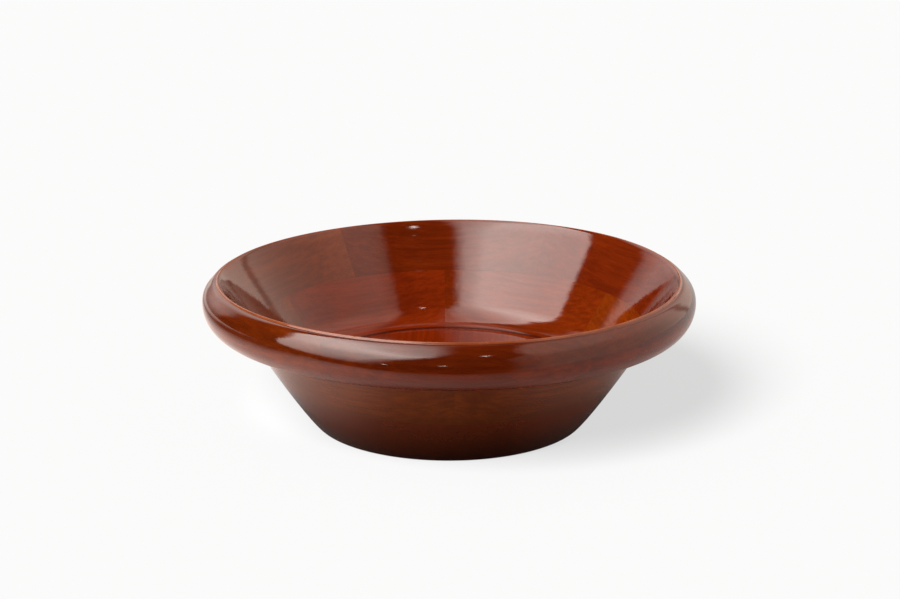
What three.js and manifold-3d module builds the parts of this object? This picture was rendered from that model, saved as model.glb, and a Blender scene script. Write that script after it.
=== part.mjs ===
// Turned wooden bowl with a thick rolled rim, built up from three glued layers of board:
// a base of three edge-glued boards, a wall ring of six mitred segments and a rim ring of
// six mitred segments. The joints of the two rings are staggered by half a segment.
// Millimetres, +Z up. Origin: centre of the foot, on the surface that the bowl stands on.
// The blanks are cut as flat boards and sectors, and every piece keeps only what lies
// inside the turned shape, as on the lathe.
import * as THREE from 'three';
import * as BufferGeometryUtils from 'three/addons/utils/BufferGeometryUtils.js';
import Module from 'manifold-3d';

// ---- driving dimensions ----------------------------------------------------------------
const OUTER_RADIUS = 150;        // widest point of the rolled rim
const HEIGHT = 90.15;            // foot to crest of the rim
const GLUE = 0.3;                // glue line between neighbouring pieces
const BASE_TOP = 29.85;          // top face of the base boards, which is also the bowl's floor
const RIM_JOINT = 60.8;          // middle of the glue line between wall ring and rim ring
const RING_SEGMENTS = 6;         // segments in each ring
const RIM_JOINT_ANGLE = 1.5;     // degrees from +X to the first joint of the rim ring
const WALL_JOINT_ANGLE = 31.5;   // the wall ring's joints lie half a segment further round
const BOARD_JOINT_X = 38;        // the base's two glued edges, left and right of the middle
const FOOT_RADIUS = 82.7;        // where the wall leaves the foot
const RECESS_RADIUS = 60;        // shallow recess turned into the underside
const RECESS_DEPTH = 2;
const GROOVE_RADIUS = 86.1;      // fine turned line round the floor
const GROOVE_DEPTH = 0.3;
const GROOVE_HALF_WIDTH = 0.5;
const FLOOR_RADIUS = 87.6;       // where the flat floor meets the hollow curve of the wall
const COVE_TOP = [104.2, 40.7];  // where the hollow curve runs into the straight inner wall
const LIP = [137.85, 88.3];      // inner edge of the rim, where its rounded crest begins
const FACETS = 60;               // steps round the circle
const WALL_STEPS = 8;

// ---- outlines, each a list of [radius, height] ------------------------------------------
const bezier = (p0, p1, p2, n) => {
  const out = [];
  for (let i = 0; i <= n; i++) {
    const t = i / n, a = (1 - t) * (1 - t), b = 2 * t * (1 - t), c = t * t;
    out.push([a * p0[0] + b * p1[0] + c * p2[0], a * p0[1] + b * p1[1] + c * p2[1]]);
  }
  return out;
};

// outer wall from the foot up to the hollow under the rim
const OUTER_WALL = bezier([FOOT_RADIUS, 0], [91.3, 8.05], [124.0, 59.4], WALL_STEPS);
OUTER_WALL.push([125.9, 62.2]);

// inner wall from the floor up to the lip: hollow curve, then a straight cone that leans out
// a little more over its last few millimetres
const INNER_WALL = [
  [FLOOR_RADIUS, BASE_TOP], [90.0, 30.6], [93.4, 31.85], [96.5, 33.5], [99.3, 35.45],
  [101.9, 37.9], COVE_TOP, [115.3, 56.5], [126.5, 72.45], [133.4, 82.25], LIP,
];

// rolled rim, from its underside round the outside to a shallow valley, then over the small
// raised bead that edges the lip
const RIM_ROLL = [
  [128.2, 62.62], [134.0, 62.62], [140.2, 62.66], [142.2, 63.1], [144.0, 64.0], [145.9, 65.65],
  [147.55, 67.85], [148.75, 70.2], [149.5, 72.6], [149.93, 75.1], [OUTER_RADIUS, 77.3],
  [149.72, 79.75], [148.98, 82.0], [147.48, 84.35], [145.35, 86.6], [143.8, 88.05],
  [142.6, 88.8], [141.5, 89.0], [141.05, 89.4], [140.75, 89.9], [140.2, HEIGHT],
  [139.75, 90.05], [139.2, 89.7], [138.5, 89.05],
];

const rAt = (line, z) => {
  for (let i = 1; i < line.length; i++) {
    const [r0, z0] = line[i - 1], [r1, z1] = line[i];
    if (z >= z0 && z <= z1) return r0 + (r1 - r0) * (z - z0) / (z1 - z0);
  }
  throw new Error('height is off the outline');
};
const between = (line, lo, hi) => [
  [rAt(line, lo), lo],
  ...line.filter(([, z]) => z > lo + 0.6 && z < hi - 0.6),
  [rAt(line, hi), hi],
];

const baseOutline = [
  [0, RECESS_DEPTH], [RECESS_RADIUS - 3, RECESS_DEPTH], [RECESS_RADIUS, 0],
  ...between(OUTER_WALL, 0, BASE_TOP),
  [FLOOR_RADIUS, BASE_TOP],
  [GROOVE_RADIUS + GROOVE_HALF_WIDTH, BASE_TOP],
  [GROOVE_RADIUS, BASE_TOP - GROOVE_DEPTH],
  [GROOVE_RADIUS - GROOVE_HALF_WIDTH, BASE_TOP],
  [0, BASE_TOP],
];
const wallLo = BASE_TOP + GLUE, wallHi = RIM_JOINT - GLUE / 2;
const wallOutline = [
  ...between(OUTER_WALL, wallLo, wallHi),
  ...between(INNER_WALL, wallLo, wallHi).reverse(),
];
wallOutline.push(wallOutline[0]);
const rimLo = RIM_JOINT + GLUE / 2;
const rimOutline = [
  [rAt(OUTER_WALL, rimLo), rimLo], [125.9, 62.2],
  ...RIM_ROLL,
  ...between(INNER_WALL, rimLo, LIP[1]).reverse(),
];
rimOutline.push(rimOutline[0]);

// ---- solids -----------------------------------------------------------------------------
const wasm = await Module();
wasm.setup();

const toSolid = (geometry) => {
  let g = geometry.index ? geometry.toNonIndexed() : geometry.clone();
  g.deleteAttribute('normal');
  g.deleteAttribute('uv');
  g = BufferGeometryUtils.mergeVertices(g, 1e-4);
  const idx = g.index.array, keep = [];
  for (let i = 0; i < idx.length; i += 3) {
    if (idx[i] !== idx[i + 1] && idx[i + 1] !== idx[i + 2] && idx[i] !== idx[i + 2]) {
      keep.push(idx[i], idx[i + 1], idx[i + 2]);
    }
  }
  return new wasm.Manifold(new wasm.Mesh({
    numProp: 3,
    vertProperties: new Float32Array(g.attributes.position.array),
    triVerts: new Uint32Array(keep),
  }));
};
const toGeometry = (solid) => {
  const mesh = solid.getMesh();
  const g = new THREE.BufferGeometry();
  g.setAttribute('position', new THREE.BufferAttribute(new Float32Array(mesh.vertProperties), 3));
  g.setIndex(new THREE.BufferAttribute(new Uint32Array(mesh.triVerts), 1));
  g.computeVertexNormals();
  return g;
};

// a full turn of an outline about +Z, with a facet edge on every joint of the rings; the
// facets straddle the true circle, half inside it and half outside
const STRADDLE = 2 / (1 + Math.cos(Math.PI / FACETS));
const turned = (outline) => {
  const pts = outline.map(([r, z]) => new THREE.Vector2(r * STRADDLE, z));
  const g = new THREE.LatheGeometry(pts, FACETS, THREE.MathUtils.degToRad(RIM_JOINT_ANGLE), Math.PI * 2);
  g.rotateX(Math.PI / 2);
  return toSolid(g);
};
// a flat blank sawn to a plan shape
const blank = (points, zLow, zHigh) => {
  const shape = new THREE.Shape(points.map(([x, y]) => new THREE.Vector2(x, y)));
  const g = new THREE.ExtrudeGeometry(shape, { depth: zHigh - zLow, bevelEnabled: false });
  g.translate(0, 0, zLow);
  return toSolid(g);
};
// plan of one mitred segment: both glued ends stand half a glue line off the joint planes
const sector = (startDeg, sweepDeg) => {
  const a0 = THREE.MathUtils.degToRad(startDeg), a1 = a0 + THREE.MathUtils.degToRad(sweepDeg);
  const mid = (a0 + a1) / 2, half = (a1 - a0) / 2, reach = OUTER_RADIUS + 30, off = GLUE / 2;
  const tip = off / Math.sin(half);
  const ox0 = -Math.sin(a0) * off, oy0 = Math.cos(a0) * off;
  const ox1 = Math.sin(a1) * off, oy1 = -Math.cos(a1) * off;
  const far = reach / Math.cos(half / 2);
  return [
    [Math.cos(mid) * tip, Math.sin(mid) * tip],
    [Math.cos(a0) * reach + ox0, Math.sin(a0) * reach + oy0],
    [Math.cos(mid - half / 2) * far, Math.sin(mid - half / 2) * far],
    [Math.cos(mid + half / 2) * far, Math.sin(mid + half / 2) * far],
    [Math.cos(a1) * reach + ox1, Math.sin(a1) * reach + oy1],
  ];
};

const bowl = new THREE.Group();
bowl.name = 'wooden_bowl';
const addPiece = (parent, name, solid, color) => {
  const material = new THREE.MeshStandardMaterial({ color, roughness: 0.22, metalness: 0 });
  const mesh = new THREE.Mesh(toGeometry(solid), material);
  mesh.name = name;
  parent.add(mesh);
};

// base: three boards glued edge to edge, grain running front to back
const base = new THREE.Group();
const baseTurned = turned(baseOutline);
const reach = OUTER_RADIUS, jx = BOARD_JOINT_X, half = GLUE / 2;
const boards = [
  ['base_board_left', -reach, -jx - half, 0x6f2a16],
  ['base_board_centre', -jx + half, jx - half, 0x7a3018],
  ['base_board_right', jx + half, reach, 0x8a3a18],
];
for (const [name, x0, x1, color] of boards) {
  const plan = [[x0, -reach], [x1, -reach], [x1, reach], [x0, reach]];
  addPiece(base, name, blank(plan, -5, BASE_TOP + 5).intersect(baseTurned), color);
}

// wall ring and rim ring: six mitred segments each
const addRing = (group, stem, outline, firstJoint, zLow, zHigh, colors) => {
  const ring = turned(outline), sweep = 360 / RING_SEGMENTS;
  for (let i = 0; i < RING_SEGMENTS; i++) {
    const plan = sector(firstJoint + i * sweep, sweep);
    addPiece(group, `${stem}_${i + 1}`, blank(plan, zLow, zHigh).intersect(ring), colors[i]);
  }
};
const wall = new THREE.Group();
addRing(wall, 'wall_segment', wallOutline, WALL_JOINT_ANGLE, BASE_TOP - 5, RIM_JOINT + 5,
  [0x8c3a18, 0x7c3018, 0x742c18, 0x7a2e18, 0x6c2816, 0x86361a]);
const rim = new THREE.Group();
addRing(rim, 'rim_segment', rimOutline, RIM_JOINT_ANGLE, RIM_JOINT - 5, HEIGHT + 5,
  [0x6e2814, 0x722a16, 0x7e321c, 0x762c18, 0x702a16, 0x682614]);

bowl.add(base, wall, rim);

export default bowl;
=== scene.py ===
import math

import bpy
import numpy as np
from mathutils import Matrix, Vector

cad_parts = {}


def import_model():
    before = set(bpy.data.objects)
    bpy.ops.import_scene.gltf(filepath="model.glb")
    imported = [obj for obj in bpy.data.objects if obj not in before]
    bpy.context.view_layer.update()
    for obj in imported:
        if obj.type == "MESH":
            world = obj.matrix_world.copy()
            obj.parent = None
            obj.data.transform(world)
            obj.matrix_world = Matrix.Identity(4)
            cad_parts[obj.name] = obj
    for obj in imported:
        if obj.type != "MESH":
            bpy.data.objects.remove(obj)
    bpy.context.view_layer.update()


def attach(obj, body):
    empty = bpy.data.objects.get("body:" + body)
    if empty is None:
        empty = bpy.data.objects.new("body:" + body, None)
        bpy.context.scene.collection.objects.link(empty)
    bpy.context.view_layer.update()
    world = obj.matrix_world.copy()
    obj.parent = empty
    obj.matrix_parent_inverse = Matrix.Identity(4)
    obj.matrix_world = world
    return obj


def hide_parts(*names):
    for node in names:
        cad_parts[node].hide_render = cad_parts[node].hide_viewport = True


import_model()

MM = 0.001

# ------------------------------------------------------------------------------------------
# Dimensions, in millimetres, as in the construction
# ------------------------------------------------------------------------------------------
R = 150.0
BASE_TOP = 29.85
RIM_JOINT = 60.8
GLUE = 0.3                      # glue line in the construction
HAIR = 0.006                    # what shows of it here, half a width
RIM_A0 = 1.5                    # first joint of the rim ring, degrees from +X
WALL_A0 = 31.5                  # first joint of the wall ring
BOARD_X = 38.0
LAYERS = (BASE_TOP + GLUE / 2, RIM_JOINT)

# ------------------------------------------------------------------------------------------
# Outline of the turned shape: [radius, height]
# ------------------------------------------------------------------------------------------


def natural_spline(pts, n):
    """n points along a smooth curve through pts, evenly spread along its length."""
    p = np.array(pts, float)
    d = np.r_[0, np.cumsum(np.hypot(*np.diff(p, axis=0).T))]
    k = len(p)
    h = np.diff(d)
    A = np.zeros((k, k))
    B = np.zeros((k, 2))
    A[0, 0] = A[-1, -1] = 1
    for i in range(1, k - 1):
        A[i, i - 1], A[i, i], A[i, i + 1] = h[i - 1], 2 * (h[i - 1] + h[i]), h[i]
        B[i] = 6 * ((p[i + 1] - p[i]) / h[i] - (p[i] - p[i - 1]) / h[i - 1])
    M = np.linalg.solve(A, B)
    t = np.linspace(0, d[-1], 40 * k)
    j = np.clip(np.searchsorted(d, t, side="right") - 1, 0, k - 2)
    a, b = (d[j + 1] - t)[:, None], (t - d[j])[:, None]
    hh = h[j][:, None]
    q = (
        M[j] * a**3 / (6 * hh)
        + M[j + 1] * b**3 / (6 * hh)
        + (p[j] / hh - M[j] * hh / 6) * a
        + (p[j + 1] / hh - M[j + 1] * hh / 6) * b
    )
    return even(q, n)


def even(q, n):
    q = np.array(q, float)
    d = np.r_[0, np.cumsum(np.hypot(*np.diff(q, axis=0).T))]
    t = np.linspace(0, d[-1], n)
    return np.stack([np.interp(t, d, q[:, 0]), np.interp(t, d, q[:, 1])], 1)


def arc(p0, t0, p1, t1, n):
    """Smooth corner from p0, heading t0 degrees, to p1, heading t1 degrees."""
    a = np.array([math.cos(math.radians(t0)), math.sin(math.radians(t0))])
    b = np.array([math.cos(math.radians(t1)), math.sin(math.radians(t1))])
    s = np.linalg.norm(np.subtract(p1, p0)) * 0.552 / math.sqrt(2) * 1.12
    p0, p1 = np.array(p0, float), np.array(p1, float)
    c0, c1 = p0 + a * s, p1 - b * s
    t = np.linspace(0, 1, n)[:, None]
    return (1 - t) ** 3 * p0 + 3 * t * (1 - t) ** 2 * c0 + 3 * t * t * (1 - t) * c1 + t**3 * p1


def bezier2(p0, p1, p2, n):
    t = np.linspace(0, 1, n)[:, None]
    p0, p1, p2 = (np.array(p, float) for p in (p0, p1, p2))
    return (1 - t) ** 2 * p0 + 2 * t * (1 - t) * p1 + t * t * p2


FOOT_R = 82.7
WALL_TOP = (124.0, 59.4)
outer_wall = bezier2((FOOT_R, 0.0), (91.3, 8.05), WALL_TOP, 60)
slope = np.array(WALL_TOP) - np.array((91.3, 8.05))
slope /= np.linalg.norm(slope)
wall_end = np.array(WALL_TOP) + slope * 1.9
wall_dir = math.degrees(math.atan2(slope[1], slope[0]))

ROLL = [
    (134.0, 62.62), (137.6, 62.6), (140.2, 62.66), (142.2, 63.1), (144.0, 64.0), (145.9, 65.65),
    (147.55, 67.85), (148.75, 70.2), (149.5, 72.6), (149.93, 75.1), (150.0, 77.3), (149.72, 79.75),
    (148.98, 82.0), (147.48, 84.35), (145.35, 86.6), (143.8, 88.05), (142.6, 88.8), (141.5, 89.0),
]
CONE_TOP = (137.85, 88.3)
# a small raised bead edges the lip
CREST = [(141.5, 89.0), (141.1, 89.32), (140.85, 89.72), (140.55, 90.04), (140.15, 90.14), (139.75, 90.05), (139.2, 89.7), (138.5, 89.08), CONE_TOP]
COVE_TOP = (104.2, 40.7)
COVE_FOOT = (86.6, 30.1)
cone_dir = math.degrees(math.atan2(CONE_TOP[1] - COVE_TOP[1], CONE_TOP[0] - COVE_TOP[0]))

under = arc(wall_end, wall_dir, (128.6, 62.62), 0, 9)
roll = natural_spline([(128.6, 62.62), (131.0, 62.62)] + ROLL, 110)
edge = natural_spline(CREST, 34)
BEND = 7.5      # over its last few millimetres the cone leans out a little more, towards the lip
bend_end = np.array(CONE_TOP) - BEND * np.array([math.cos(math.radians(cone_dir - 1.2)), math.sin(math.radians(cone_dir - 1.2))])
cone_dir = math.degrees(math.atan2(bend_end[1] - COVE_TOP[1], bend_end[0] - COVE_TOP[0]))
bend = arc(CONE_TOP, 180 + cone_dir - 4.5, tuple(bend_end), 180 + cone_dir, 12)
cone = np.vstack([bend, even([tuple(bend_end), COVE_TOP], 40)[1:]])


def cove_curve(n):
    """Hollow curve from the straight inner wall down to the edge of the floor."""
    p0, p1 = np.array(COVE_TOP), np.array(COVE_FOOT)
    d0 = np.array([-math.cos(math.radians(cone_dir)), -math.sin(math.radians(cone_dir))])
    foot = math.radians(6.5)
    d1 = np.array([-math.cos(foot), -math.sin(foot)])
    s = np.linalg.norm(p1 - p0) * 0.35
    t = np.linspace(0, 1, n)[:, None]
    c0, c1 = p0 + d0 * s, p1 - d1 * s
    return (1 - t) ** 3 * p0 + 3 * t * (1 - t) ** 2 * c0 + 3 * t * t * (1 - t) * c1 + t**3 * p1


cove = cove_curve(26)

outside = np.vstack([outer_wall, under[1:], roll[1:], edge[1:]])
inside = np.vstack([cone, cove[1:]])


def cut(line, lo, hi):
    """The stretch of an outline between two heights, ends exactly on them."""
    out = []
    for (r0, z0), (r1, z1) in zip(line[:-1], line[1:]):
        for z in (lo, hi):
            if (z0 - z) * (z1 - z) < 0:
                out.append((abs(z0 - z) / abs(z1 - z0), r0, z0, r1, z1, z))
    keep = [tuple(p) for p in line if lo < p[1] < hi]
    ends = [(r0 + (r1 - r0) * f, z) for f, r0, z0, r1, z1, z in out]
    if not keep:
        return np.array(ends)
    first = [e for e in ends if np.hypot(e[0] - keep[0][0], e[1] - keep[0][1]) < np.hypot(e[0] - keep[-1][0], e[1] - keep[-1][1])]
    last = [e for e in ends if e not in first]
    return np.array(first + keep + last)


# ------------------------------------------------------------------------------------------
# Meshes
# ------------------------------------------------------------------------------------------
rng = np.random.default_rng(7)
BEVEL = 0.30      # width of the eased edge at a glued joint
DIP = 0.006       # how far the eased edge drops below the surface


def dip_at(d):
    """Drop of the surface at a distance d (mm) from a joint, in mm."""
    t = np.clip(1 - d / BEVEL, 0, 1)
    return DIP * t * t


def normals2d(p):
    """Outward normals of a closed outline that runs anticlockwise seen with r right and z up."""
    t = np.roll(p, -1, 0) - np.roll(p, 1, 0)
    n = np.stack([t[:, 1], -t[:, 0]], 1)
    return n / np.maximum(np.linalg.norm(n, axis=1), 1e-9)[:, None]


def refine_ends(line, at_start, at_end):
    """Adds points close to the ends of an open outline, where a glued joint eases its edge."""
    line = [np.array(p) for p in line]
    steps = (0.1, 0.2, BEVEL)
    if at_start:
        d = line[1] - line[0]
        ln = np.linalg.norm(d)
        while ln < BEVEL * 1.5 and len(line) > 3:
            del line[1]
            d = line[1] - line[0]
            ln = np.linalg.norm(d)
        line[1:1] = [line[0] + d / ln * s for s in steps]
    if at_end:
        d = line[-2] - line[-1]
        ln = np.linalg.norm(d)
        while ln < BEVEL * 1.5 and len(line) > 3:
            del line[-2]
            d = line[-2] - line[-1]
            ln = np.linalg.norm(d)
        line[-1:-1] = [line[-1] + d / ln * s for s in reversed(steps)]
    return np.array(line)


def angle_steps(a0, a1, step, r_ref):
    """Angles (radians) from a0 to a1, with close steps at both joints."""
    near = np.array([0, 0.1, 0.2, BEVEL]) / r_ref
    n = max(2, int(round((a1 - a0 - 2 * near[-1]) / math.radians(step))))
    mid = np.linspace(a0 + near[-1], a1 - near[-1], n + 1)
    return np.r_[a0 + near[:-1], mid, a1 - near[:-1][::-1]]


def attribute(me, name, kind, values):
    att = me.attributes.new(name, kind, "POINT")
    att.data.foreach_set("vector" if kind == "FLOAT_VECTOR" else "value", np.asarray(values, np.float32).ravel())


ARRISES = ((140.5, 89.8), (FOOT_R, 0.0))


def foot_shade_at(r, z):
    """Mask of the painted shade at the foot: 1 at the foot of the outer wall, falling to 0 under the rim; 0 everywhere
    else.
    """
    wall = np.interp(z, outer_wall[:, 1], outer_wall[:, 0])
    return np.where((r > wall - 1.5) & (z < 59), 1 - np.clip(z / 52, 0, 1), 0.0)


def rub_at(r, z):
    """Distance in mm from the edges that hands and tables rub; along the lip the paler colour it drives is also a
    painted highlight.
    """
    return np.min([np.hypot(r - a, z - b) for a, b in ARRISES], axis=0)


WARP = 0.8      # the rim has moved by this much out of its plane as the wood dried, in mm


def warped(v):
    """Bends the bowl a little: two opposite quarters of the rim stand high, two low."""
    w = np.clip(v[:, 2] / 90, 0, 1) ** 1.5 * np.hypot(v[:, 0], v[:, 1]) / 140
    out = v.copy()
    out[:, 2] += WARP * w * np.sin(2 * np.arctan2(v[:, 1], v[:, 0]))
    return out


def add_mesh(name, verts, faces, wood, joint, crease, material, smooth=True):
    me = bpy.data.meshes.new(name)
    me.from_pydata([tuple(v) for v in warped(verts) * MM], [], faces)
    me.validate(clean_customdata=False)
    attribute(me, "wood", "FLOAT_VECTOR", wood * MM)
    attribute(me, "joint", "FLOAT", joint)
    attribute(me, "crease", "FLOAT", crease)
    attribute(me, "rub", "FLOAT", rub_at(np.hypot(verts[:, 0], verts[:, 1]), verts[:, 2]))
    attribute(me, "foot", "FLOAT", foot_shade_at(np.hypot(verts[:, 0], verts[:, 1]), verts[:, 2]))
    me.polygons.foreach_set("use_smooth", np.full(len(me.polygons), smooth))
    me.update()
    ob = bpy.data.objects.new(name, me)
    bpy.context.scene.collection.objects.link(ob)
    me.materials.append(material)
    return ob


def fill(line):
    """Triangles, anticlockwise, inside a closed outline that runs anticlockwise."""
    idx = list(range(len(line)))
    tris = []

    def turn(a, b, c):
        return (line[b][0] - line[a][0]) * (line[c][1] - line[a][1]) - (line[b][1] - line[a][1]) * (line[c][0] - line[a][0])

    while len(idx) > 3:
        best, pick = None, None
        for j in range(len(idx)):
            a, b, c = idx[j - 1], idx[j], idx[(j + 1) % len(idx)]
            t = turn(a, b, c)
            if t <= 1e-9:
                continue
            q = line[idx]
            s0 = (line[b][0] - line[a][0]) * (q[:, 1] - line[a][1]) - (line[b][1] - line[a][1]) * (q[:, 0] - line[a][0])
            s1 = (line[c][0] - line[b][0]) * (q[:, 1] - line[b][1]) - (line[c][1] - line[b][1]) * (q[:, 0] - line[b][0])
            s2 = (line[a][0] - line[c][0]) * (q[:, 1] - line[c][1]) - (line[a][1] - line[c][1]) * (q[:, 0] - line[c][0])
            inside_it = (s0 >= 0) & (s1 >= 0) & (s2 >= 0)
            if inside_it.sum() > 3:
                continue
            sides = [np.linalg.norm(line[u] - line[v]) for u, v in ((a, b), (b, c), (c, a))]
            shape = t / max(sides) ** 2
            if best is None or shape > best:
                best, pick = shape, j
            if shape > 0.25:
                break
        if pick is None:
            pick = max(range(len(idx)), key=lambda j: turn(idx[j - 1], idx[j], idx[(j + 1) % len(idx)]))
        tris.append((idx[pick - 1], idx[pick], idx[(pick + 1) % len(idx)]))
        del idx[pick]
    tris.append(tuple(idx))
    return tris


def sharp_where(me, mask_pairs):
    """Marks edges sharp whose vertex pair is in mask_pairs."""
    att = me.attributes.new("sharp_edge", "BOOLEAN", "EDGE")
    ev = np.empty(len(me.edges) * 2, np.int32)
    me.edges.foreach_get("vertices", ev)
    ev = ev.reshape(-1, 2)
    val = np.array([(min(a, b), max(a, b)) in mask_pairs for a, b in ev])
    att.data.foreach_set("value", val)


def ring_piece(name, mid_deg, half_deg, line, seams, tris, material, step=1.0, tilt=0.0):
    """One mitred segment of a ring: the closed outline line, swept about +Z between its two
    glued ends. seams marks the outline points that lie on a glued layer."""
    n2 = normals2d(line)
    k = len(line)
    r_ref = 125.0
    half = math.radians(half_deg) - HAIR / r_ref
    mid = math.radians(mid_deg)
    th = angle_steps(mid - half, mid + half, step, r_ref)
    # distance of each outline point from the nearest layer joint, along the outline
    seg = np.linalg.norm(np.roll(line, -1, 0) - line, axis=1)
    dist_layer = np.full(k, 99.0)
    for s in np.nonzero(seams)[0]:
        acc = 0.0
        for j in range(1, 14):
            acc += seg[(s + j - 1) % k]
            dist_layer[(s + j) % k] = min(dist_layer[(s + j) % k], acc)
        acc = 0.0
        for j in range(1, 14):
            acc += seg[(s - j) % k]
            dist_layer[(s - j) % k] = min(dist_layer[(s - j) % k], acc)
        dist_layer[s] = 0
    verts, wood, joint, crease = [], [], [], []
    cm, sm = math.cos(mid), math.sin(mid)
    off = rng.uniform(-1, 1, 3) * np.array([900.0, 400.0, 400.0])
    ct, st = math.cos(tilt), math.sin(tilt)
    for t in th:
        d_end = min(t - th[0], th[-1] - t) * line[:, 0]
        d = np.minimum(d_end, dist_layer)
        p = line - n2 * dip_at(d)[:, None]
        x, y, z = p[:, 0] * math.cos(t), p[:, 0] * math.sin(t), p[:, 1]
        verts.append(np.stack([x, y, z], 1))
        u, v, w = -x * sm + y * cm, x * cm + y * sm - 120.0, z
        wood.append(np.stack([u, v * ct - w * st, v * st + w * ct], 1) + off)
        joint.append(d)
        crease.append(np.abs(np.hypot(p[:, 0] - 86.4, p[:, 1] - 30.0)))
    m = len(th)
    verts, wood = np.vstack(verts), np.vstack(wood)
    joint, crease = np.concatenate(joint), np.concatenate(crease)
    faces = []
    for i in range(m - 1):
        for j in range(k):
            a, b = i * k + j, i * k + (j + 1) % k
            faces.append((a, a + k, b + k, b))
    first, last = 0, (m - 1) * k
    for a, b, c in tris:
        faces.append((a + first, b + first, c + first))
        faces.append((c + last, b + last, a + last))
    ob = add_mesh(name, verts, faces, wood, joint, crease, material)
    pairs = set()
    for j in range(k):
        pairs.add(tuple(sorted((j, (j + 1) % k))))
        pairs.add(tuple(sorted(((m - 1) * k + j, (m - 1) * k + (j + 1) % k))))
    for s in np.nonzero(seams)[0]:
        for i in range(m - 1):
            pairs.add((i * k + s, (i + 1) * k + s))
    sharp_where(ob.data, pairs)
    return ob


def closed(*parts):
    """Joins open stretches of outline into one closed outline, without doubled points, and
    says which points are corners on a glued layer."""
    pts, seam = [], []
    for part, s0, s1 in parts:
        for i, p in enumerate(part):
            flag = (i == 0 and s0) or (i == len(part) - 1 and s1)
            if pts and np.linalg.norm(np.subtract(pts[-1], p)) < 1e-4:
                seam[-1] = seam[-1] or flag
                continue
            pts.append(p)
            seam.append(flag)
    if np.linalg.norm(np.subtract(pts[0], pts[-1])) < 1e-4:
        pts.pop()
        seam[0] = seam[0] or seam.pop()
    return np.array(pts), np.array(seam)


# ------------------------------------------------------------------------------------------
# Node helpers
# ------------------------------------------------------------------------------------------
class Nodes:
    def __init__(self, tree):
        self.t = tree
        tree.nodes.clear()

    def new(self, kind, **kw):
        n = self.t.nodes.new(kind)
        for key, val in kw.items():
            setattr(n, key, val)
        return n

    def put(self, sock, val):
        if isinstance(val, bpy.types.NodeSocket):
            self.t.links.new(val, sock)
        elif val is not None:
            sock.default_value = val

    def math(self, op, a, b=None, c=None, clamp=False):
        n = self.new("ShaderNodeMath", operation=op, use_clamp=clamp)
        for s, v in zip(n.inputs, (a, b, c)):
            self.put(s, v)
        return n.outputs[0]

    def vmath(self, op, a, b=None):
        n = self.new("ShaderNodeVectorMath", operation=op)
        self.put(n.inputs[0], a)
        if b is not None:
            self.put(n.inputs[1], b)
        return n.outputs["Value"] if op in ("DOT_PRODUCT", "LENGTH") else n.outputs[0]

    def step(self, v, lo, hi):
        """0 below lo, 1 above hi, smooth between."""
        n = self.new("ShaderNodeMapRange", interpolation_type="SMOOTHSTEP", clamp=True)
        self.put(n.inputs["Value"], v)
        n.inputs["From Min"].default_value = lo
        n.inputs["From Max"].default_value = hi
        return n.outputs["Result"]

    def remap(self, v, a, b, c, d):
        n = self.new("ShaderNodeMapRange", interpolation_type="LINEAR", clamp=True)
        self.put(n.inputs["Value"], v)
        for key, val in zip(("From Min", "From Max", "To Min", "To Max"), (a, b, c, d)):
            n.inputs[key].default_value = val
        return n.outputs["Result"]

    def noise(self, vec, scale=1.0, detail=3.0, rough=0.5, dist=0.0):
        n = self.new("ShaderNodeTexNoise")
        self.put(n.inputs["Vector"], vec)
        n.inputs["Scale"].default_value = scale
        n.inputs["Detail"].default_value = detail
        n.inputs["Roughness"].default_value = rough
        n.inputs["Distortion"].default_value = dist
        return n.outputs["Fac"]

    def mix(self, fac, a, b, mode="MIX"):
        n = self.new("ShaderNodeMix", data_type="RGBA", blend_type=mode, clamp_factor=True)
        self.put(n.inputs[0], fac)
        self.put(n.inputs[6], a)
        self.put(n.inputs[7], b)
        return n.outputs[2]

    def ramp(self, fac, stops):
        n = self.new("ShaderNodeValToRGB")
        cr = n.color_ramp
        cr.interpolation = "B_SPLINE" if len(stops) > 3 else "LINEAR"
        while len(cr.elements) < len(stops):
            cr.elements.new(0.5)
        for e, (pos, col) in zip(cr.elements, stops):
            e.position, e.color = pos, (*col, 1)
        self.put(n.inputs["Fac"], fac)
        return n.outputs["Color"]


# ------------------------------------------------------------------------------------------
# Lacquered wood
# ------------------------------------------------------------------------------------------
def profile(N, v, pts):
    """Value of v through pts, as a sum of ramps."""
    total = pts[0][1]
    for (x0, y0), (x1, y1) in zip(pts[:-1], pts[1:]):
        total = N.math("ADD", N.remap(v, x0, x1, 0.0, y1 - y0), total)
    return total


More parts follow.
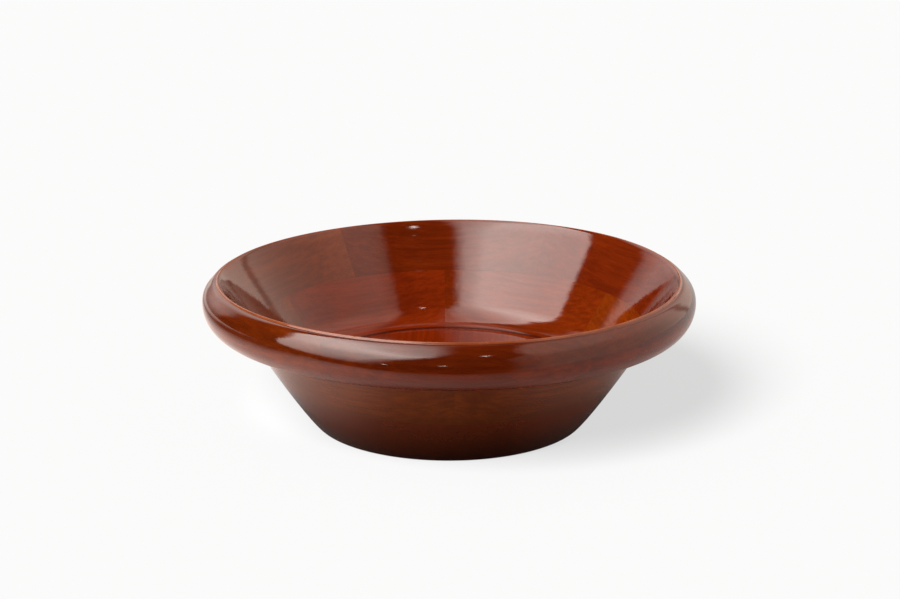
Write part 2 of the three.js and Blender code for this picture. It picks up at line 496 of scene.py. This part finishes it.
def wood_material(name, dark, mid, light):
    mat = bpy.data.materials.new(name)
    mat.use_nodes = True
    N = Nodes(mat.node_tree)
    out = N.new("ShaderNodeOutputMaterial")
    bsdf = N.new("ShaderNodeBsdfPrincipled")
    N.t.links.new(bsdf.outputs[0], out.inputs[0])
    wood = N.new("ShaderNodeAttribute", attribute_name="wood").outputs["Vector"]
    joint = N.new("ShaderNodeAttribute", attribute_name="joint").outputs["Fac"]
    crease = N.new("ShaderNodeAttribute", attribute_name="crease").outputs["Fac"]
    rub = N.new("ShaderNodeAttribute", attribute_name="rub").outputs["Fac"]
    foot = N.new("ShaderNodeAttribute", attribute_name="foot").outputs["Fac"]

    def stretched(along, across):
        return N.vmath("MULTIPLY", wood, (along, across, across))

    # slow wander of the grain
    wander = N.noise(stretched(6.0, 14.0), 1.0, 2.0, 0.5)
    shift = N.math("MULTIPLY", N.math("SUBTRACT", wander, 0.5), 0.009)
    comb = N.new("ShaderNodeCombineXYZ")
    N.put(comb.inputs[1], shift)
    N.put(comb.inputs[2], shift)
    moved = N.vmath("ADD", wood, comb.outputs[0])

    def grain(along, across, detail=3.0, rough=0.55):
        return N.noise(N.vmath("MULTIPLY", moved, (along, across, across)), 1.0, detail, rough)

    broad = grain(4.0, 60.0, 2.0, 0.5)          # growth bands, 10 to 20 mm
    streak = grain(9.0, 380.0, 3.0, 0.6)        # streaks, 1 to 3 mm
    fibre = grain(45.0, 1700.0, 3.0, 0.65)      # fibres, under 1 mm
    pore = grain(260.0, 4200.0, 1.0, 0.5)       # short open pores
    ribbon = N.noise(stretched(70.0, 24.0), 1.0, 2.0, 0.5)  # cross figure that catches the light
    cloud = N.noise(wood, 16.0, 3.0, 0.5)       # uneven stain

    f = N.math("MULTIPLY", broad, 0.45)
    f = N.math("MULTIPLY_ADD", streak, 0.85, f)
    f = N.math("MULTIPLY_ADD", fibre, 0.45, f)
    f = N.math("MULTIPLY_ADD", ribbon, 0.20, f)
    f = N.math("MULTIPLY_ADD", cloud, 0.34, f)
    f = N.remap(f, 0.86, 1.43, 0.0, 1.0)
    col = N.ramp(f, [(0.0, dark), (0.34, tuple((a + b) / 2 for a, b in zip(dark, mid))), (0.58, mid), (1.0, light)])

    # pores, filled with darker stain
    pores = N.step(pore, 0.64, 0.74)
    col = N.mix(N.math("MULTIPLY", pores, 0.4), col, (dark[0] * 0.45, dark[1] * 0.4, dark[2] * 0.4, 1))

    # glue lines: mostly a little darker, paler in places
    near = N.math("SUBTRACT", 1.0, N.step(joint, 0.03, 0.30))
    patch = N.step(N.noise(wood, 35.0, 1.0, 0.5), 0.42, 0.60)
    line = N.mix(patch, (dark[0] * 0.55, dark[1] * 0.5, dark[2] * 0.5, 1), (light[0] * 0.9, light[1] * 0.9, light[2], 1))
    col = N.mix(N.math("MULTIPLY", near, 0.3), col, line)
    # painted shadow: the corner where floor and wall meet is painted near-black, standing in for the shade in the
    # groove there
    corner = N.math("SUBTRACT", 1.0, N.step(crease, 0.5, 2.6))
    col = N.mix(N.math("MULTIPLY", corner, 0.85), col, (0.035, 0.002, 0.0004, 1))
    # painted light and shade on the roll: it is painted lighter on its lower half and darker round its widest part and
    # above it, standing in for how the light falls on it
    place = N.new("ShaderNodeTexCoord").outputs["Object"]
    high = N.new("ShaderNodeSeparateXYZ")
    N.put(high.inputs[0], place)
    width = N.vmath("LENGTH", N.vmath("MULTIPLY", place, (1.0, 1.0, 0.0)))
    roll_painted_shading = profile(N, high.outputs[2], [(0.0650, 1.0), (0.0700, 1.10), (0.0735, 1.32), (0.0768, 0.90), (0.0830, 0.82), (0.0875, 1.0)])
    roll_painted_shading = N.math("MULTIPLY_ADD", N.math("SUBTRACT", roll_painted_shading, 1.0), N.step(width, 0.136, 0.140), 1.0)
    col = N.vmath("SCALE", col)
    N.put(col.node.inputs["Scale"], roll_painted_shading)
    # stain rubbed thin along the edges; along the lip the paler colour is partly wear and partly a painted highlight
    wear_and_lip_highlight = N.math("SUBTRACT", 1.0, N.step(rub, 0.55, 1.25))
    wear_and_lip_highlight = N.math("MULTIPLY", wear_and_lip_highlight, N.remap(N.noise(wood, 60.0, 3.0, 0.6), 0.3, 0.6, 0.55, 1.0))
    col = N.mix(N.math("MULTIPLY", wear_and_lip_highlight, 0.55), col, (0.34, 0.095, 0.030, 1))

    # painted shade: towards the foot the outer wall is painted browner and darker, standing in for the shade near the
    # floor
    col = N.mix(N.math("MULTIPLY", N.step(foot, 0.26, 0.50), 0.62), col, (0.078, 0.0150, 0.0024, 1))
    col = N.mix(N.math("MULTIPLY", foot, 0.66), col, (0.018, 0.0048, 0.0022, 1))

    N.put(bsdf.inputs["Base Color"], col)
    N.put(bsdf.inputs["Roughness"], N.remap(fibre, 0.3, 0.7, 0.46, 0.6))
    bsdf.inputs["Specular IOR Level"].default_value = 0.0
    bsdf.inputs["IOR"].default_value = 1.5
    bsdf.inputs["Coat Weight"].default_value = 1.0
    bsdf.inputs["Coat Roughness"].default_value = 0.055
    bsdf.inputs["Coat IOR"].default_value = 1.5

    # grain telegraphs through the lacquer, which also lies in faint waves
    fine = N.math("MULTIPLY_ADD", pore, -0.35, N.math("MULTIPLY", fibre, 0.6))
    b1 = N.new("ShaderNodeBump")
    b1.inputs["Strength"].default_value = 0.25
    b1.inputs["Distance"].default_value = 0.00006
    N.put(b1.inputs["Height"], fine)
    N.put(bsdf.inputs["Normal"], b1.outputs[0])
    tele = grain(14.0, 260.0, 3.0, 0.55)
    wave = N.math("MULTIPLY_ADD", tele, 1.0, N.math("MULTIPLY", N.noise(wood, 110.0, 1.0, 0.5), 0.5))
    wave = N.math("MULTIPLY_ADD", fibre, 0.15, wave)
    b2 = N.new("ShaderNodeBump")
    b2.inputs["Strength"].default_value = 1.0
    b2.inputs["Distance"].default_value = 0.00007
    N.put(b2.inputs["Height"], wave)
    N.put(bsdf.inputs["Coat Normal"], b2.outputs[0])
    return mat


# ------------------------------------------------------------------------------------------
# Pieces
# ------------------------------------------------------------------------------------------
rim_lo = RIM_JOINT + HAIR
lower_outside = np.vstack([outer_wall, under[1:]])
rim_out = cut(lower_outside, rim_lo, 200)
rim_out = np.vstack([rim_out, roll[1:], edge[1:]])
rim_in = cut(inside, rim_lo, 200)
rim_out, rim_in = refine_ends(rim_out, True, False), refine_ends(rim_in, False, True)
rim_line, rim_seam = closed((rim_out, True, False), (rim_in, False, True))

wall_lo, wall_hi = BASE_TOP + GLUE / 2 + HAIR, RIM_JOINT - HAIR
wall_out = cut(lower_outside, wall_lo, wall_hi)
# the cove's foot ends just above the base's top face
wall_in = cut(inside, wall_lo, wall_hi)
wall_out, wall_in = refine_ends(wall_out, True, True), refine_ends(wall_in, True, True)
wall_line, wall_seam = closed((wall_out, True, True), (wall_in, True, True))
rim_tris, wall_tris = fill(rim_line), fill(wall_line)

PIECE_TONES_AND_PAINTED_LIGHT = {
    # dark, mid, light of each piece's stain, linear; the pieces differ in tone as real boards do, and partly as painted
    # light: the pieces at the front are painted darker and those at the left lighter, standing in for how the light
    # falls on them
    "rim_segment_1": ((0.0677, 0.0067, 0.0006), (0.0998, 0.0100, 0.0008), (0.1375, 0.0156, 0.0010)),
    "rim_segment_2": ((0.0699, 0.0073, 0.0004), (0.1016, 0.0111, 0.0007), (0.1380, 0.0174, 0.0009)),
    "rim_segment_3": ((0.0841, 0.0117, 0.0007), (0.1197, 0.0175, 0.0008), (0.1601, 0.0262, 0.0012)),
    "rim_segment_4": ((0.0658, 0.0083, 0.0006), (0.0951, 0.0129, 0.0007), (0.1284, 0.0192, 0.0009)),
    "rim_segment_5": ((0.0543, 0.0059, 0.0004), (0.0803, 0.0091, 0.0006), (0.1106, 0.0143, 0.0008)),
    "rim_segment_6": ((0.0527, 0.0057, 0.0005), (0.0771, 0.0085, 0.0006), (0.1053, 0.0131, 0.0008)),
    "wall_segment_1": ((0.0846, 0.0088, 0.0004), (0.1228, 0.0139, 0.0006), (0.1610, 0.0207, 0.0010)),
    "wall_segment_2": ((0.0935, 0.0087, 0.0007), (0.1349, 0.0133, 0.0009), (0.1796, 0.0202, 0.0011)),
    "wall_segment_3": ((0.0927, 0.0135, 0.0007), (0.1346, 0.0207, 0.0009), (0.1816, 0.0310, 0.0012)),
    "wall_segment_4": ((0.0693, 0.0119, 0.0006), (0.0998, 0.0179, 0.0008), (0.1363, 0.0271, 0.0011)),
    "wall_segment_5": ((0.0681, 0.0116, 0.0005), (0.0990, 0.0174, 0.0007), (0.1344, 0.0265, 0.0010)),
    "wall_segment_6": ((0.0919, 0.0119, 0.0005), (0.1325, 0.0189, 0.0007), (0.1745, 0.0276, 0.0011)),
    "base_board_left": ((0.0752, 0.0069, 0.0005), (0.1094, 0.0107, 0.0007), (0.1485, 0.0168, 0.0009)),
    "base_board_centre": ((0.0855, 0.0074, 0.0005), (0.1227, 0.0116, 0.0007), (0.1631, 0.0179, 0.0009)),
    "base_board_right": ((0.0989, 0.0104, 0.0006), (0.1421, 0.0164, 0.0008), (0.1886, 0.0245, 0.0011)),
}
mats = {n: wood_material("lacquered_wood_" + n, *PIECE_TONES_AND_PAINTED_LIGHT[n]) for n in PIECE_TONES_AND_PAINTED_LIGHT}

pieces = []
for i in range(6):
    name = f"rim_segment_{i + 1}"
    ob = ring_piece("turned_" + name, RIM_A0 + 60 * i + 30, 30, rim_line, rim_seam, rim_tris, mats[name], tilt=rng.uniform(-0.5, 0.5))
    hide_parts(name)
    pieces.append(ob)
for i in range(6):
    name = f"wall_segment_{i + 1}"
    ob = ring_piece("turned_" + name, WALL_A0 + 60 * i + 30, 30, wall_line, wall_seam, wall_tris, mats[name], tilt=rng.uniform(-0.5, 0.5))
    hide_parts(name)
    pieces.append(ob)


def base_board(name, x0, x1, material):
    """One board of the base: the turned base outline cut by two upright planes. Built as rows
    of the turned surface, clipped to the board's width."""
    import bmesh

    top_r = float(np.interp(BASE_TOP, outer_wall[:, 1], outer_wall[:, 0]))
    wall_part = cut(outer_wall, 0.9, BASE_TOP + GLUE / 2 - HAIR)
    foot = arc((FOOT_R - 2.0, 0.0), 0, wall_part[0], 46, 6)
    z_top = BASE_TOP + GLUE / 2 - HAIR
    g = 86.15
    top = [
        (top_r, z_top), (96.0, z_top), (88.2, z_top), (87.0, z_top), (g + 0.45, z_top),
        (g + 0.25, BASE_TOP + 0.05), (g, BASE_TOP - 0.03), (g - 0.30, BASE_TOP - 0.04),
        (g - 0.70, BASE_TOP - 0.015), (g - 1.10, BASE_TOP),
    ]
    top += [(r, BASE_TOP) for r in (84.0, 80.0, 72.0, 60.0, 46.0, 32.0, 18.0, 6.0, 0.0)]
    under_line = [
        (0.0, 2.0), (20.0, 2.0), (40.0, 2.0), (56.0, 2.0), (57.6, 1.93), (58.6, 1.6), (59.3, 0.9),
        (59.9, 0.35), (60.8, 0.06), (62.0, 0.0), (70.0, 0.0), (78.0, 0.0),
    ]
    wall_ref = refine_ends(wall_part, False, True)
    line = np.vstack([under_line, foot, wall_ref[1:], top[1:]])
    seam_i = len(under_line) + len(foot) + len(wall_ref) - 2
    n_th = 360
    bm = bmesh.new()
    th = np.linspace(0, 2 * math.pi, n_th, endpoint=False)
    rings = []
    for j, (r, z) in enumerate(line):
        if r < 1e-6:
            rings.append([bm.verts.new((0, 0, z))])
        else:
            rings.append([bm.verts.new((r * math.cos(t), r * math.sin(t), z)) for t in th])
    for a, b in zip(rings[:-1], rings[1:]):
        for i in range(n_th):
            i2 = (i + 1) % n_th
            if len(a) == 1:
                bm.faces.new((a[0], b[i2], b[i]))
            elif len(b) == 1:
                bm.faces.new((a[i], a[i2], b[0]))
            else:
                bm.faces.new((a[i], a[i2], b[i2], b[i]))
    # the board's edges: cut through, then close with a flat glued face
    for x, side in ((x0, -1), (x1, 1)):
        if x is None:
            continue
        for inset in (BEVEL, 0.12):
            bmesh.ops.bisect_plane(bm, geom=bm.verts[:] + bm.edges[:] + bm.faces[:], dist=1e-5,
                                   plane_co=(x - side * inset, 0, 0), plane_no=(side, 0, 0))
        bmesh.ops.bisect_plane(bm, geom=bm.verts[:] + bm.edges[:] + bm.faces[:], dist=1e-5,
                               plane_co=(x, 0, 0), plane_no=(side, 0, 0), clear_outer=True)
    bmesh.ops.recalc_face_normals(bm, faces=bm.faces[:])
    bm.verts.ensure_lookup_table()
    # ease the edges at the glued faces
    for v in bm.verts:
        d = min(abs(v.co.x - x) if x is not None else 99 for x in (x0, x1))
        drop = float(dip_at(np.array([d]))[0])
        if drop > 0:
            if v.co.z > BASE_TOP - 1:
                v.co.z -= drop
            elif v.co.z < 2.1 and math.hypot(v.co.x, v.co.y) < FOOT_R - 1:
                v.co.z += drop
            else:
                rr = math.hypot(v.co.x, v.co.y)
                k = (rr - drop) / rr
                v.co.y *= k
    for x, side in ((x0, -1), (x1, 1)):
        if x is None:
            continue
        rim_edges = [e for e in bm.edges if e.is_boundary and all(abs(v.co.x - x) < 0.02 for v in e.verts)]
        bmesh.ops.contextual_create(bm, geom=rim_edges)
        for e in rim_edges:
            e.smooth = False
    bmesh.ops.recalc_face_normals(bm, faces=bm.faces[:])
    for f in bm.faces:
        f.smooth = True
    for e in bm.edges:
        z = [v.co.z for v in e.verts]
        rr = [math.hypot(v.co.x, v.co.y) for v in e.verts]
        if min(rr) > 90 and min(z) > z_top - 0.01 and abs(rr[0] - rr[1]) < 0.2 and min(rr) > top_r - 0.6:
            e.smooth = False
    me = bpy.data.meshes.new("turned_" + name)
    bm.to_mesh(me)
    bm.free()
    co = np.empty(len(me.vertices) * 3, np.float32)
    me.vertices.foreach_get("co", co)
    co = co.reshape(-1, 3)
    off = rng.uniform(-1, 1, 3) * np.array([900.0, 400.0, 400.0])
    wood = np.stack([co[:, 1], co[:, 0], co[:, 2]], 1) + off
    rr = np.hypot(co[:, 0], co[:, 1])
    d_edge = np.min([np.abs(co[:, 0] - x) for x in (x0, x1) if x is not None], axis=0)
    d_top = np.where(rr > 95, np.abs(co[:, 2] - z_top), 99)
    joint = np.minimum(d_edge, d_top)
    crease = np.where(co[:, 2] > 20, np.abs(rr - 86.4), 99)
    attribute(me, "wood", "FLOAT_VECTOR", wood * MM)
    attribute(me, "joint", "FLOAT", joint)
    attribute(me, "crease", "FLOAT", crease)
    attribute(me, "rub", "FLOAT", rub_at(rr, co[:, 2]))
    attribute(me, "foot", "FLOAT", foot_shade_at(rr, co[:, 2]))
    me.vertices.foreach_set("co", (warped(co) * MM).astype(np.float32).ravel())
    me.update()
    me.materials.append(material)
    ob = bpy.data.objects.new("turned_" + name, me)
    bpy.context.scene.collection.objects.link(ob)
    return ob


for name, x0, x1 in (
    ("base_board_left", None, -BOARD_X - HAIR),
    ("base_board_centre", -BOARD_X + HAIR, BOARD_X - HAIR),
    ("base_board_right", BOARD_X + HAIR, None),
):
    ob = base_board(name, x0, x1, mats[name])
    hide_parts(name)
    pieces.append(ob)

for ob in pieces:
    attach(ob, "root")

# ------------------------------------------------------------------------------------------
# Floor
# ------------------------------------------------------------------------------------------
FRONT = -0.285      # the pale sheet ends in front of the bowl, just outside the picture
S = 9.0


def sheet(name, z):
    me = bpy.data.meshes.new(name)
    me.from_pydata([(-S, FRONT, 0), (S, FRONT, 0), (S, S, 0), (-S, S, 0)], [], [(0, 1, 2, 3)])
    ob = bpy.data.objects.new(name, me)
    ob.location = (0, 0, z)
    bpy.context.scene.collection.objects.link(ob)
    mat = bpy.data.materials.new(name + "_paper")
    mat.use_nodes = True
    me.materials.append(mat)
    return ob, Nodes(mat.node_tree)


# the sheet that the camera sees: white paper with one soft lamp of its own
floor, F = sheet("floor", -0.0002)
fo = F.new("ShaderNodeOutputMaterial")
fd = F.new("ShaderNodeBsdfDiffuse")
fe = F.new("ShaderNodeEmission")
fadd = F.new("ShaderNodeAddShader")
fd.inputs["Color"].default_value = (0.015, 0.015, 0.015, 1)
fe.inputs["Color"].default_value = (1, 1, 1, 1)
# painted light: a soft bright patch glows on the floor under the rim at the left, lifting out the bowl's shadow there
painted_glow_under_rim = F.vmath("SUBTRACT", F.new("ShaderNodeNewGeometry").outputs["Position"], (-0.095, 0.030, 0.0))
painted_glow_under_rim = F.vmath("LENGTH", F.vmath("MULTIPLY", painted_glow_under_rim, (1.0, 0.50, 1.0)))
F.put(fe.inputs["Strength"], F.math("MULTIPLY_ADD", F.math("SUBTRACT", 1.0, F.step(painted_glow_under_rim, 0.006, 0.048)), 0.085, 0.674))
F.t.links.new(fd.outputs[0], fadd.inputs[0])
F.t.links.new(fe.outputs[0], fadd.inputs[1])
F.t.links.new(fadd.outputs[0], fo.inputs[0])
for flag in ("visible_diffuse", "visible_glossy", "visible_transmission", "visible_volume_scatter", "visible_shadow"):
    setattr(floor, flag, False)
lamp = bpy.data.lights.new("floor_lamp", "SUN")
lamp.angle = math.radians(27)
lamp.energy = 88.0
lamp_ob = bpy.data.objects.new("floor_lamp", lamp)
la, le = math.radians(-31), math.radians(39)
lamp_dir = Vector((math.sin(la) * math.cos(le), -math.cos(la) * math.cos(le), math.sin(le)))
lamp_ob.rotation_mode = "QUATERNION"
lamp_ob.rotation_quaternion = lamp_dir.to_track_quat("Z", "Y")
bpy.context.scene.collection.objects.link(lamp_ob)
only_floor = bpy.data.collections.new("floor_only")
only_floor.objects.link(floor)
lamp_ob.light_linking.receiver_collection = only_floor

# the sheet that lights the bowl and shows in its lacquer: bright at the left, where it runs
# out, dimmer at the right, and in the dark under the bowl and towards the camera
below, B = sheet("floor_reflected", -0.0004)


bo = B.new("ShaderNodeOutputMaterial")
be = B.new("ShaderNodeEmission")
bsep = B.new("ShaderNodeSeparateXYZ")
bpos = B.new("ShaderNodeNewGeometry").outputs["Position"]
B.put(bsep.inputs[0], bpos)
bx, by = bsep.outputs[0], bsep.outputs[1]
glare = profile(B, bx, [(-0.44, 0.06), (-0.36, 0.42), (-0.30, 0.78), (-0.24, 1.10), (-0.16, 1.18), (-0.06, 0.72), (0.02, 0.47), (0.12, 0.46), (0.30, 0.60), (0.60, 0.72)])
nearer = B.math("ADD", by, B.remap(bx, 0.10, 0.42, 0.0, 0.16))
glare = B.math("MULTIPLY", glare, profile(B, nearer, [(-0.34, 0.03), (-0.29, 0.25), (-0.24, 0.75), (-0.20, 0.95), (-0.10, 1.0)]))
glare = B.math("MULTIPLY", glare, profile(B, B.vmath("LENGTH", B.vmath("SUBTRACT", bpos, (0.006, 0.0, 0.0))), [(0.08, 0.06), (0.10, 0.14), (0.12, 0.44), (0.14, 0.70), (0.165, 1.0)]))
# deepest shade close in front of the foot
shade = B.math("MULTIPLY", B.step(B.math("MULTIPLY", by, -1.0), 0.05, 0.09), B.math("SUBTRACT", 1.0, B.step(B.math("ABSOLUTE", bx), 0.03, 0.09)))
shade = B.math("MULTIPLY", shade, B.math("SUBTRACT", 1.0, B.step(B.vmath("LENGTH", bpos), 0.125, 0.155)))
glare = B.math("MULTIPLY", glare, B.math("MULTIPLY_ADD", shade, -0.6, 1.0))
# far behind at the left it is bright again
glare = B.math("MAXIMUM", glare, B.math("MULTIPLY", B.math("MULTIPLY", B.step(by, 0.12, 0.7), B.step(bx, -0.2, -0.5)), 0.85))
soft = B.new("ShaderNodeLightPath").outputs["Is Diffuse Ray"]
glare = B.math("MULTIPLY", glare, B.math("MULTIPLY_ADD", soft, B.remap(bx, -0.30, 0.30, 0.75, 2.4), 1.0))
be.inputs["Color"].default_value = (1.18, 1.07, 1.0, 1)
B.put(be.inputs["Strength"], glare)
B.t.links.new(be.outputs[0], bo.inputs[0])
below.data.materials[0].cycles.emission_sampling = "NONE"
below.visible_camera = False

# ------------------------------------------------------------------------------------------
# Soft studio light: white panels at the left, above and at the right, and a pale backdrop
# ------------------------------------------------------------------------------------------
scene = bpy.context.scene
world = bpy.data.worlds.new("studio")
scene.world = world
world.use_nodes = True
W = Nodes(world.node_tree)
wout = W.new("ShaderNodeOutputWorld")
bg = W.new("ShaderNodeBackground")
W.t.links.new(bg.outputs[0], wout.inputs[0])
direction = W.new("ShaderNodeTexCoord").outputs["Generated"]
sep = W.new("ShaderNodeSeparateXYZ")
W.put(sep.inputs[0], direction)
dx, dy, dz = sep.outputs
front = W.math("MULTIPLY", dy, -1.0)
az = W.math("MULTIPLY", W.math("ARCTAN2", dx, front), 180 / math.pi)   # 0 at the camera side, + to the right
el = W.math("MULTIPLY", W.math("ARCSINE", dz), 180 / math.pi)
zc = W.math("MAXIMUM", dz, 0.05)
pa = W.math("DIVIDE", dx, zc)      # where the direction meets a ceiling one unit up
pb = W.math("DIVIDE", front, zc)


def band(v, lo, hi, soft):
    a = W.step(v, lo - soft, lo + soft)
    b = W.math("SUBTRACT", 1.0, W.step(v, hi - soft, hi + soft))
    return W.math("MULTIPLY", a, b)


def lin(ka, kb):
    return W.math("MULTIPLY_ADD", pa, ka, W.math("MULTIPLY", pb, kb))


def curve(v, pts):
    """Piecewise smooth value of v through pts, as a sum of steps."""
    total = None
    for (x0, y0), (x1, y1) in zip(pts[:-1], pts[1:]):
        n = W.remap(v, x0, x1, 0.0, y1 - y0)
        total = n if total is None else W.math("ADD", total, n)
    return W.math("ADD", total, pts[0][1])


def times(*vals):
    out = vals[0]
    for v in vals[1:]:
        out = W.math("MULTIPLY", out, v)
    return out


def inverse(v):
    return W.math("SUBTRACT", 1.0, v)


absaz = W.math("ABSOLUTE", az)
# big cloth that stands at the left and leans over the bowl: it brightens towards the top
cloth = curve(el, [(-8, 0.3), (0, 1.5), (6, 2.2), (12, 2.9), (24, 3.9), (36, 4.5), (42, 4.9), (48, 6.0), (60, 8.6), (66, 12.0)])
edge_at = curve(el, [(0, -36), (12, -32.5), (24, -29), (36, -22), (42, -19), (48, -17), (54, -11), (60, -10)])
cloth_side = inverse(W.step(W.math("SUBTRACT", az, edge_at), -8.0, 8.0))
cloth_side = W.math("MAXIMUM", cloth_side, W.step(el, 57.0, 65.0))
turn = W.math("SUBTRACT", az, W.math("MULTIPLY", W.step(az, 60.0, 61.0), 400.0))
low = curve(turn, [(-200, 64), (-160, 63), (-118, 62), (-106, 50), (-97, 42), (-90, 29), (-82, 14), (-70, 6), (-58, 1), (-46, -6)])
cloth_low = W.step(W.math("SUBTRACT", el, low), -4.0, 4.0)
cloth = times(cloth, cloth_side, cloth_low)
# its leaning part, as a ceiling: fades to the right
across = W.math("MULTIPLY_ADD", W.math("MAXIMUM", pb, 0.0), 0.24, pa)
across = W.math("ADD", across, W.remap(pb, 0.0, 0.35, 0.08, 0.0))
over = curve(across, [(-0.5, 8.3), (-0.32, 6.8), (-0.22, 5.3), (-0.1, 3.9), (0.0, 3.0), (0.06, 1.45), (0.12, 0.12), (0.15, 0.0)])
over = W.math("MULTIPLY", over, W.math("MULTIPLY_ADD", W.math("MAXIMUM", pb, -0.25), 0.65, 1.0))
light = W.math("MINIMUM", cloth, over)
light = W.math("MULTIPLY", light, W.remap(el, 50.0, 68.0, 1.0, 0.80))
# right wall, dimmer
right_edge = curve(pb, [(-1.5, 0.16), (-0.85, 0.20), (-0.47, 0.235), (0.0, 0.33), (0.24, 0.385), (0.56, 0.57), (1.6, 0.75)])
right_top = W.step(W.math("SUBTRACT", pa, right_edge), -0.04, 0.06)
right_level = curve(az, [(26, 0.0), (34, 0.31), (46, 0.58), (58, 0.70), (94, 0.72), (106, 0.78), (130, 0.95), (143, 0.97), (154, 0.75), (166, 0.50), (176, 0.06)])
glow = times(band(az, 52.0, 112.0, 10.0), W.step(el, 38.0, 50.0))
sink = times(W.step(az, 122.0, 146.0), W.step(el, 28.0, 44.0))
slit = band(az, 137.0, 142.0, 2.0)
right = times(right_top, W.math("MULTIPLY_ADD", slit, -0.6, 1.0), right_level, W.step(az, 24.0, 30.0), W.math("MULTIPLY_ADD", glow, 0.38, 1.0), W.math("MULTIPLY_ADD", sink, -0.35, 1.0))
# backdrop behind the bowl, at the left of its middle
back = curve(az, [(-180, 0.10), (-174, 0.25), (-167, 1.00), (-155, 1.25), (-143, 1.15), (-136, 0.90), (-132.5, 0.76), (-128, 0.06), (-126, 0.0)])
back = times(back, inverse(W.step(az, -127.0, -126.0)), curve(el, [(-8, 0.2), (3, 0.3), (8, 0.55), (14, 0.88), (34, 1.15)]), inverse(W.step(el, 37.0, 47.0)))
light = W.math("ADD", light, back)
# pale patches right behind the bowl, one high and one low
light = W.math("MULTIPLY_ADD", times(W.step(absaz, 163.0, 173.0), band(el, 46.0, 58.0, 4.0)), 0.35, light)
strip = times(W.step(absaz, 156.0, 168.0), W.step(el, -3.0, 3.0), inverse(W.step(el, 13.5, 18.0)))
light = W.math("MAXIMUM", light, W.math("MULTIPLY", strip, 0.25))
# small lamps that show as sparks in the lacquer
for (a0, e0, size, power) in ((26.0, 59.6, 1.5, 13.0), (-2.7, 6.2, 1.3, 13.0), (-28.5, -1.0, 1.3, 13.0)):
    d = Vector((math.cos(math.radians(e0)) * math.sin(math.radians(a0)), -math.cos(math.radians(e0)) * math.cos(math.radians(a0)), math.sin(math.radians(e0))))
    dot = W.vmath("DOT_PRODUCT", direction, tuple(d))
    spot = W.step(dot, math.cos(math.radians(size * 1.25)), math.cos(math.radians(size * 0.5)))
    light = W.math("MULTIPLY_ADD", spot, power, light)
light = W.math("ADD", light, 0.02)
path = W.new("ShaderNodeLightPath").outputs["Is Camera Ray"]
tinted = W.new("ShaderNodeCombineColor")
for sock, cool, warm in zip(tinted.inputs[:3], (1.18, 1.07, 1.0), (1.50, 1.18, 1.0)):
    W.put(sock, W.math("MULTIPLY_ADD", right, warm, W.math("MULTIPLY", light, cool)))
W.put(bg.inputs["Color"], W.mix(path, tinted.outputs[0], (0.965, 0.965, 0.965, 1)))
bg.inputs["Strength"].default_value = 1.0
try:
    world.cycles.sampling_method = "MANUAL"
    world.cycles.sample_map_resolution = 1024
except Exception:
    pass

# ------------------------------------------------------------------------------------------
# Camera
# ------------------------------------------------------------------------------------------
cam_data = bpy.data.cameras.new("camera")
cam_data.sensor_fit = "HORIZONTAL"
cam_data.sensor_width = 36.0
cam_data.lens = 80.0
cam_data.clip_start, cam_data.clip_end = 0.05, 50.0
cam = bpy.data.objects.new("camera", cam_data)
PITCH = 0.2798 - 0.00025
ROLL_ANGLE = 0.0
cam.location = (0.00068, -7.8385 * R * MM, 2.7442 * R * MM)
cam.rotation_mode = "XYZ"
cam.rotation_euler = (math.pi / 2 - PITCH, ROLL_ANGLE, 0)
bpy.context.scene.collection.objects.link(cam)
scene.camera = cam

scene.view_settings.view_transform = "Standard"
scene.view_settings.look = "None"
scene.view_settings.exposure = 0.0
scene.view_settings.gamma = 1.0
